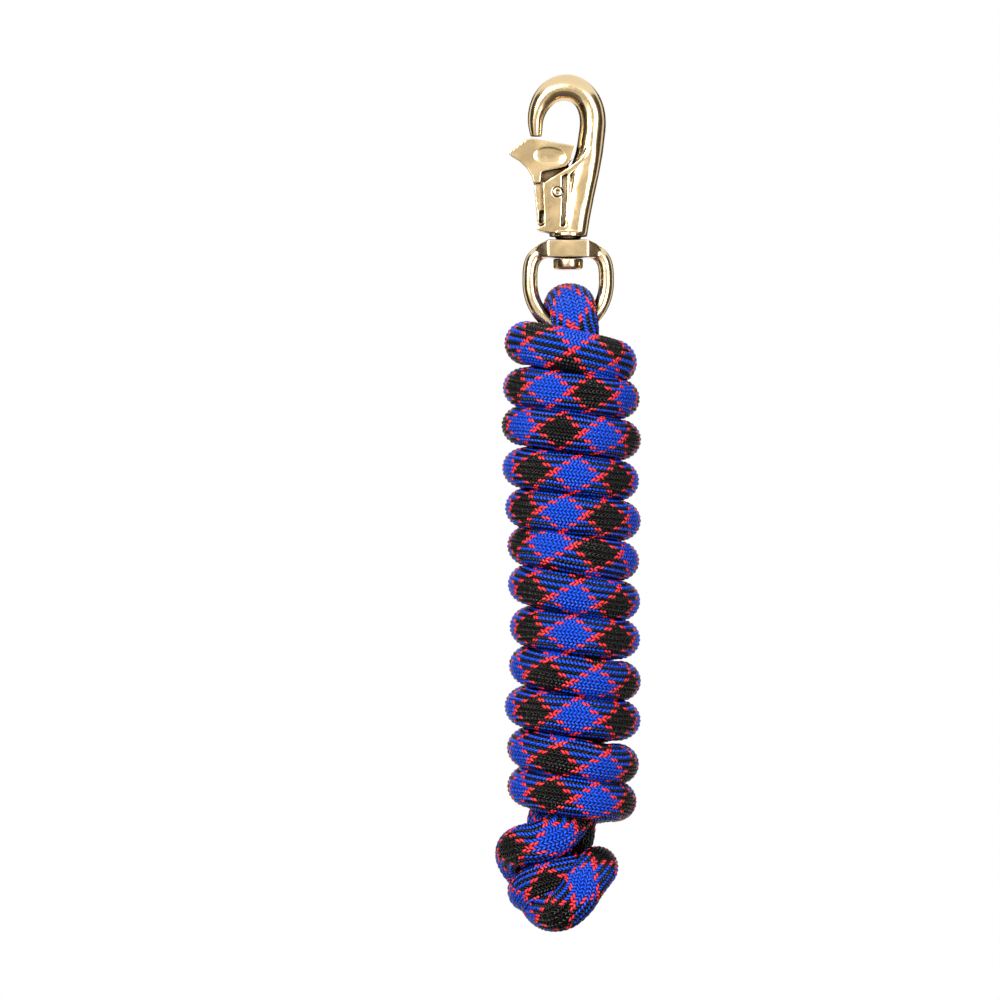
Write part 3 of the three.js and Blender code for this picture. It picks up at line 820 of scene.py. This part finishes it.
class Braid:
    """The rope's route, its pressed section, and how its braid lies on it."""

    def __init__(self, settings):
        self.radius = settings.diameter / 2
        turns = turn_line()
        route = [*EYE_ROUTE, *CORE_ROUTE, *turns, *DIVE_ROUTE, *KNOT_ROUTE]
        self.line, self.along = smooth_line(route, 0.0005)
        self.tangents, self.normals = carried_frames(self.line)
        self.across = np.cross(self.tangents, self.normals)
        bend = np.gradient(self.tangents, self.along, axis=0)
        width = np.ones(BEND_WINDOW) / BEND_WINDOW
        self.bend = np.column_stack([np.convolve(bend[:, k], width, "same") for k in range(3)])
        self.lay_braid(settings.crown)
        self.press()

    def lay_braid(self, crown):
        """How many crossings lie behind each point, and the braid's turn about the rope, so that each colour
        mark shows where it is."""
        in_eye = self.along < EYE_END
        to_front = unit(self.tangents * self.tangents[:, 1:2] - np.array([0.0, 1.0, 0.0]))
        outward = np.where(in_eye[:, None], unit(np.cross(SIDEWAYS, self.tangents)), to_front)
        face = self.line + self.radius * outward
        angle_out = np.arctan2((outward * self.across).sum(1), (outward * self.normals).sum(1))
        plain = self.along / crown
        marks = []
        turn, slip = 0.0, 0.0
        for x, z, degrees, colour in COLOUR_MARKS:
            if z > EYE_LEVEL:
                showing = in_eye & (self.line[:, 1] < 0)
            else:
                showing = self.line[:, 1] < FRONT
            apart = np.hypot(face[:, 0] - x, face[:, 2] - z) + np.where(showing, 0.0, 1.0)
            at = int(np.argmin(apart))
            options = []
            for half in (0, 1):
                wanted = math.radians(degrees) + half * math.pi - angle_out[at]
                wanted += 2 * math.pi * round((turn - wanted) / (2 * math.pi))
                lay = half * CARRIERS / 2 - colour - plain[at]
                lay += CARRIERS * round((slip - lay) / CARRIERS)
                cost = abs(wanted - turn) / math.pi + abs(lay - slip) / (CARRIERS / 2)
                options.append((cost, wanted, lay))
            _, turn, slip = min(options)
            marks.append((self.along[at], turn, slip))
        marks = np.array(sorted(marks))
        self.twist = np.interp(self.along, marks[:, 0], marks[:, 1])
        self.crossings = plain + np.interp(self.along, marks[:, 0], marks[:, 2])
        self.crossings = np.maximum.accumulate(self.crossings)

    def press(self):
        """Where the rope is squeezed: flat over the ring, and by its neighbours in the hank."""
        fades = (0.0, EYE_END * 0.8, EYE_END)
        over_ring = np.interp(self.along, fades, (RING_SQUEEZE, RING_SQUEEZE, 1.0))
        self.spread = np.interp(self.along, fades, (RING_SPREAD, RING_SPREAD, 1.0))
        levels = (-0.325, -0.320, -0.126, -0.120)
        wound = np.interp(self.line[:, 2], levels, (1.0, WOUND_SQUEEZE, WOUND_SQUEEZE, TOP_SWELL))
        in_eye = self.along < EYE_END
        self.squeeze = np.where(in_eye, over_ring, wound)
        flat = unit(np.cross(self.tangents, SIDEWAYS))
        upright = unit(UP - self.tangents * (self.tangents @ UP)[:, None])
        self.pressed = np.where(in_eye[:, None], flat, upright)

    def rings(self, height):
        """Rings of points with every crossing's crown raised, and the crossings counted at each ring."""
        first = math.ceil(self.crossings[0] * RINGS_PER_CROWN)
        last = math.floor(self.crossings[-1] * RINGS_PER_CROWN)
        counted = np.arange(first, last + 1) / RINGS_PER_CROWN
        at = np.interp(counted, self.crossings, self.along)

        def there(values):
            values = np.asarray(values)
            if values.ndim == 1:
                return np.interp(at, self.along, values)
            return np.column_stack([np.interp(at, self.along, values[:, k]) for k in range(3)])

        middle = there(self.line)
        normals = unit(there(self.normals))
        across = unit(there(self.across))
        twist = there(self.twist)[:, None]
        bend = there(self.bend) * self.radius
        bend /= np.maximum(np.linalg.norm(bend, axis=1, keepdims=True) / BEND_LIMIT, 1.0)
        bend_n = (bend * normals).sum(1)[:, None]
        bend_a = (bend * across).sum(1)[:, None]
        sides = CARRIERS * SIDES_PER_CARRIER
        round_lay = np.arange(sides) / SIDES_PER_CARRIER
        braid_angle = 2 * np.pi * round_lay[None, :] / CARRIERS
        angle = braid_angle - twist
        for _ in range(LAY_ROUNDS):
            angle = braid_angle - twist - (bend_a * np.cos(angle) - bend_n * np.sin(angle))
        columns = 2 * round_lay[None, :]
        column = np.floor(columns + 0.5)
        lean = columns - column
        other_way = np.mod(column, 2)
        slanted = (1 - 2 * other_way) * DASH_SLANT * lean - 0.5 * other_way - counted[:, None]
        in_crossing = slanted - np.floor(slanted + 0.5)
        crown = np.cos(np.pi * lean) * (1 - (2 * np.abs(in_crossing)) ** 2.5)
        offset = np.cos(angle)[..., None] * normals[:, None] + np.sin(angle)[..., None] * across[:, None]
        pressed = unit(there(self.pressed))[:, None]
        share = 1 - there(self.squeeze)[:, None, None]
        offset = offset - share * (offset * pressed).sum(-1, keepdims=True) * pressed
        offset[..., 0] *= there(self.spread)[:, None]
        reach = self.radius - height * CROWN_MIDDLE + height * crown
        return middle[:, None] + reach[..., None] * offset, counted


def build_rope(settings):
    """The whole rope as one braided tube: eye, core, bight, turns, tail and knot."""
    braid = Braid(settings)
    rings, counted = braid.rings(settings.crown_height)
    piece = skin("braided_rope", rings)
    mesh = piece.data
    count, sides = rings.shape[:2]
    # The braid's own coordinates: carriers round the rope, crossings along it.
    quads = (count - 1) * sides
    ring = np.repeat(np.arange(count - 1), sides)
    side = np.tile(np.arange(sides), count - 1)
    rounds = np.stack([side, side + 1, side + 1, side], -1)
    steps = np.stack([ring, ring, ring + 1, ring + 1], -1)
    caps = len(mesh.loops) - quads * 4
    lay = np.stack([rounds / SIDES_PER_CARRIER, -counted[steps]], -1).reshape(-1, 2)
    mesh.uv_layers.new(name="braid").data.foreach_set(
        "uv", np.concatenate([lay.ravel(), np.tile(lay[-1], caps)]).astype(np.float32)
    )
    # A layout for textures: the tube's length folded into strips side by side.
    per_strip = math.ceil((count - 1) / TEXTURE_STRIPS)
    strip = (ring // per_strip)[:, None]
    flat_u = (strip + 0.03 + 0.94 * rounds / sides) / TEXTURE_STRIPS
    flat_v = 0.01 + 0.98 * (steps - strip * per_strip) / per_strip
    flat = np.stack([flat_u, flat_v], -1).reshape(-1)
    mesh.uv_layers.new(name="OFBake").data.foreach_set(
        "uv", np.concatenate([flat, np.zeros(caps * 2)]).astype(np.float32)
    )
    nodes = ("rope_eye_loop", "rope_hank", "rope_bight", "rope_tail", "rope_knot")
    finish_piece(piece, braided_polypropylene(settings), "rope", "braid", *nodes)


def build_seizing(settings):
    """The whipping that closes the rope's eye: twine wound round both of its legs."""
    per_turn = 48
    turn = 2 * np.pi * np.arange(SEIZING_TURNS * per_turn + 1) / per_turn
    c = np.cos(turn)
    s = np.sin(turn)
    line = np.column_stack(
        [
            SEIZING_X + SEIZING_HALF_X * np.sign(c) * np.abs(c) ** SEIZING_POWER,
            SEIZING_HALF_Y * np.sign(s) * np.abs(s) ** SEIZING_POWER,
            SEIZING_TOP - 2 * TWINE_R * turn / (2 * np.pi),
        ]
    )
    line, _ = smooth_line(line, 0.0008)
    piece = skin("twine_seizing", rings_along(line, *carried_frames(line), TWINE_R, TWINE_R, 12))
    finish_piece(piece, waxed_twine(settings), "rope", "twine", "eye_seizing")


# ---------- studio ----------


def area_light(name, place, target, size, power, tint):
    """A soft rectangular light aimed at a point."""
    lamp = bpy.data.lights.new(name, "AREA")
    lamp.shape = "RECTANGLE"
    lamp.size, lamp.size_y = size
    lamp.energy = power
    lamp.color = linear(tint)[:3]
    holder = bpy.data.objects.new(name, lamp)
    holder.location = place
    holder.rotation_euler = (Vector(target) - Vector(place)).to_track_quat("-Z", "Y").to_euler()
    bpy.context.scene.collection.objects.link(holder)


def flag(name, centre, across, up, tone, blotch=None, shades=True):
    """A card that the camera doesn't see, for the metal to mirror and to hold the room's light back.
    It may be mottled softly with a second tone, as a painted studio cloth is, and it may cast no shade."""
    centre, across, up = Vector(centre), Vector(across) / 2, Vector(up) / 2
    corners = (centre - across - up, centre + across - up, centre + across + up, centre - across + up)
    mesh = bpy.data.meshes.new(name)
    mesh.from_pydata([tuple(c) for c in corners], [], [(0, 1, 2, 3)])
    card = bpy.data.objects.new(name, mesh)
    bpy.context.scene.collection.objects.link(card)
    card.visible_camera = False
    card.visible_shadow = shades
    paper, tree, shader = new_finish(name + "_paper", 1.0, 0.0)
    shader.inputs["Base Color"].default_value = linear(tone)
    if blotch:
        where = add_node(tree, "ShaderNodeTexCoord").outputs["Object"]
        cloud = add_node(tree, "ShaderNodeTexNoise", {"Vector": where, "Scale": 6.0, "Detail": 1.0})
        clouds = {"Value": cloud.outputs["Fac"], "From Min": 0.4, "From Max": 0.6}
        share = add_node(tree, "ShaderNodeMapRange", clouds)
        mottled = add_node(
            tree,
            "ShaderNodeMix",
            {0: share.outputs["Result"], 6: linear(tone), 7: linear(blotch)},
            data_type="RGBA",
        )
        tree.links.new(mottled.outputs[2], shader.inputs["Base Color"])
    shader.inputs["Specular IOR Level"].default_value = 0.0
    mesh.materials.append(paper)


def build_studio(settings):
    """A pale round floor far below, a white room, soft lights, black cards for the metal, and the camera."""
    scene = bpy.context.scene
    edge = 96
    turn = 2 * np.pi * np.arange(edge) / edge
    radius = settings.floor_radius
    level = settings.floor_level
    points = [(radius * math.cos(a), radius * math.sin(a), level) for a in turn]
    mesh = bpy.data.meshes.new("studio_floor")
    mesh.from_pydata(points, [], [tuple(range(edge))])
    floor = bpy.data.objects.new("studio_floor", mesh)
    scene.collection.objects.link(floor)
    matte, _, shader = new_finish("matte_white_floor", 0.9, 0.0)
    shader.inputs["Base Color"].default_value = linear("#f4f4f2")
    mesh.materials.append(matte)

    world = bpy.data.worlds.new("white_room")
    scene.world = world
    world.use_nodes = True
    room = world.node_tree.nodes["Background"]
    room.inputs["Color"].default_value = linear("#ffffff")
    room.inputs["Strength"].default_value = settings.room_light

    middle = (0.0, 0.0, -0.19)
    area_light("key", (-0.75, -1.5, 0.4), middle, (0.7, 0.7), settings.key_power, "#fffaf2")
    area_light("fill", (0.75, -1.5, 0.0), middle, (0.5, 1.0), settings.key_power * 0.45, "#f6f9ff")
    flag("card_behind_camera", (0.0, -2.9, -0.2), (2.6, 0.0, 0.0), (0.0, 0.0, 2.4), "#fff8ea", "#857a68")
    flag("card_left", (-0.85, -0.45, -0.1), (0.0, 1.0, 0.0), (0.0, 0.0, 1.4), "#221c16")
    flag("card_right", (0.85, -0.35, -0.1), (0.0, 0.9, 0.0), (0.0, 0.0, 1.4), "#3c3228")
    flag("card_back_left", (-0.85, 0.95, -0.1), (0.7, 0.6, 0.0), (0.0, 0.0, 1.6), "#3a342d")
    flag("card_back_right", (0.85, 0.95, -0.1), (0.7, -0.6, 0.0), (0.0, 0.0, 1.6), "#3a342d")
    flag("card_below", (0.0, -0.5, -0.6), (1.6, 0.0, 0.0), (0.0, 1.4, 0.0), "#4a443d", shades=False)

    lens = bpy.data.cameras.new("camera")
    lens.sensor_width = 36.0
    lens.lens = 190.0
    camera = bpy.data.objects.new("camera", lens)
    camera.location = (-0.031, -2.4, -0.1817)
    camera.rotation_euler = (math.pi / 2, 0.0, 0.0)
    scene.collection.objects.link(camera)
    scene.camera = camera
    scene.view_settings.view_transform = "Standard"


# ---------- add-on ----------


class LeadRopeSettings(bpy.types.PropertyGroup):
    """Sizes and colours of the rope and the snap."""

    diameter: bpy.props.FloatProperty(
        name="Rope diameter",
        description="Thickness of the braided rope over its crowns",
        default=0.019,
        min=0.006,
        max=0.03,
        precision=4,
        unit="LENGTH",
        subtype="DISTANCE",
    )
    crown: bpy.props.FloatProperty(
        name="Crossing pitch",
        description="Distance along the rope from one yarn crossing to the next",
        default=0.00265,
        min=0.001,
        max=0.01,
        precision=5,
        unit="LENGTH",
        subtype="DISTANCE",
    )
    crown_height: bpy.props.FloatProperty(
        name="Crown height",
        description="How far a yarn crossing stands above the hollows beside it",
        default=0.00055,
        min=0.0,
        max=0.002,
        precision=5,
        unit="LENGTH",
        subtype="DISTANCE",
    )
    blue: bpy.props.StringProperty(
        name="Blue yarn", description="Hex colour of the blue yarns", default="#0a41c6"
    )
    red: bpy.props.StringProperty(
        name="Red yarn", description="Hex colour of the red yarns", default="#e8303c"
    )
    black: bpy.props.StringProperty(
        name="Black yarn", description="Hex colour of the black yarns", default="#0a0908"
    )
    plate_light: bpy.props.StringProperty(
        name="Plating, light",
        description="Hex colour of the plating where it is thickest",
        default="#f4dfb6",
    )
    plate_dark: bpy.props.StringProperty(
        name="Plating, dark", description="Hex colour of the plating where it is thinnest", default="#e6c998"
    )
    # The dark brown painted into the plating's hollows as shade.
    painted_hollow_shade: bpy.props.StringProperty(
        name="Plating, hollows",
        description="Hex colour of the unpolished plating in hollows",
        default="#2b1d0f",
    )
    steel: bpy.props.StringProperty(
        name="Steel", description="Hex colour of the spring's wire", default="#9a958c"
    )
    roughness: bpy.props.FloatProperty(
        name="Plating roughness",
        description="Roughness of the polished plating",
        default=0.16,
        min=0.0,
        max=1.0,
        subtype="FACTOR",
    )
    voxel: bpy.props.FloatProperty(
        name="Casting grain",
        description="Size of the mesh's cells on the cast pieces",
        default=0.00026,
        min=0.0001,
        max=0.002,
        precision=5,
        unit="LENGTH",
        subtype="DISTANCE",
    )
    softening: bpy.props.IntProperty(
        name="Corner softening",
        description="Smoothing passes that round the cast pieces' corners",
        default=8,
        min=0,
        max=60,
    )


class LeadRopeStudio(bpy.types.PropertyGroup):
    """The floor and the lights."""

    floor_level: bpy.props.FloatProperty(
        name="Floor level",
        description="Height of the floor below the hook's saddle",
        default=-0.62,
        unit="LENGTH",
        subtype="DISTANCE",
    )
    floor_radius: bpy.props.FloatProperty(
        name="Floor radius",
        description="Radius of the round floor",
        default=1.25,
        unit="LENGTH",
        subtype="DISTANCE",
    )
    room_light: bpy.props.FloatProperty(
        name="Room brightness", description="Strength of the white room's light", default=1.0, min=0.0
    )
    key_power: bpy.props.FloatProperty(
        name="Key light", description="Power of the main light", default=45.0, min=0.0, unit="POWER"
    )


class LEADROPE_OT_rope(bpy.types.Operator):
    """Build the braided rope from its eye to its knot, once its seizing is there"""

    bl_idname = "lead_rope.rope"
    bl_label = "Braided Rope"

    def execute(self, context):
        build_rope(context.scene.lead_rope)
        return {"FINISHED"}


class LEADROPE_OT_seizing(bpy.types.Operator):
    """Build the twine round the eye's legs"""

    bl_idname = "lead_rope.seizing"
    bl_label = "Seizing"

    def execute(self, context):
        build_seizing(context.scene.lead_rope)
        return {"FINISHED"}


class LEADROPE_OT_snap(bpy.types.Operator):
    """Build the hook, shank and cheeks"""

    bl_idname = "lead_rope.snap"
    bl_label = "Snap Body"

    def execute(self, context):
        build_snap_body(context.scene.lead_rope)
        return {"FINISHED"}


class LEADROPE_OT_trigger(bpy.types.Operator):
    """Build the trigger, its rivet and its spring"""

    bl_idname = "lead_rope.trigger"
    bl_label = "Trigger"

    def execute(self, context):
        settings = context.scene.lead_rope
        build_trigger(settings)
        build_pin(settings)
        build_spring(settings)
        return {"FINISHED"}


class LEADROPE_OT_swivel(bpy.types.Operator):
    """Build the stud and the ring"""

    bl_idname = "lead_rope.swivel"
    bl_label = "Swivel"

    def execute(self, context):
        settings = context.scene.lead_rope
        build_stud(settings)
        build_ring(settings)
        return {"FINISHED"}


class LEADROPE_OT_studio(bpy.types.Operator):
    """Build the floor, the room, the lights and the camera"""

    bl_idname = "lead_rope.studio"
    bl_label = "Studio"

    def execute(self, context):
        build_studio(context.scene.lead_rope_studio)
        return {"FINISHED"}


OPERATORS = (
    LEADROPE_OT_seizing,
    LEADROPE_OT_rope,
    LEADROPE_OT_snap,
    LEADROPE_OT_trigger,
    LEADROPE_OT_swivel,
    LEADROPE_OT_studio,
)


class LEADROPE_PT_panel(bpy.types.Panel):
    """Lists the rope's settings and the operators that build it"""

    bl_label = "Lead Rope"
    bl_space_type = "VIEW_3D"
    bl_region_type = "UI"
    bl_category = "Lead Rope"

    def draw(self, context):
        layout = self.layout
        for group in (context.scene.lead_rope, context.scene.lead_rope_studio):
            for name in group.__annotations__:
                layout.prop(group, name)
        for operator in OPERATORS:
            layout.operator(operator.bl_idname)


CLASSES = (LeadRopeSettings, LeadRopeStudio, *OPERATORS, LEADROPE_PT_panel)


def register():
    for each in CLASSES:
        bpy.utils.register_class(each)
    bpy.types.Scene.lead_rope = bpy.props.PointerProperty(type=LeadRopeSettings)
    bpy.types.Scene.lead_rope_studio = bpy.props.PointerProperty(type=LeadRopeStudio)


def unregister():
    del bpy.types.Scene.lead_rope_studio
    del bpy.types.Scene.lead_rope
    for each in reversed(CLASSES):
        bpy.utils.unregister_class(each)


def main():
    register()
    bpy.ops.lead_rope.seizing()
    bpy.ops.lead_rope.rope()
    bpy.ops.lead_rope.snap()
    bpy.ops.lead_rope.trigger()
    bpy.ops.lead_rope.swivel()
    bpy.ops.lead_rope.studio()


if __name__ == "__main__":
    main()
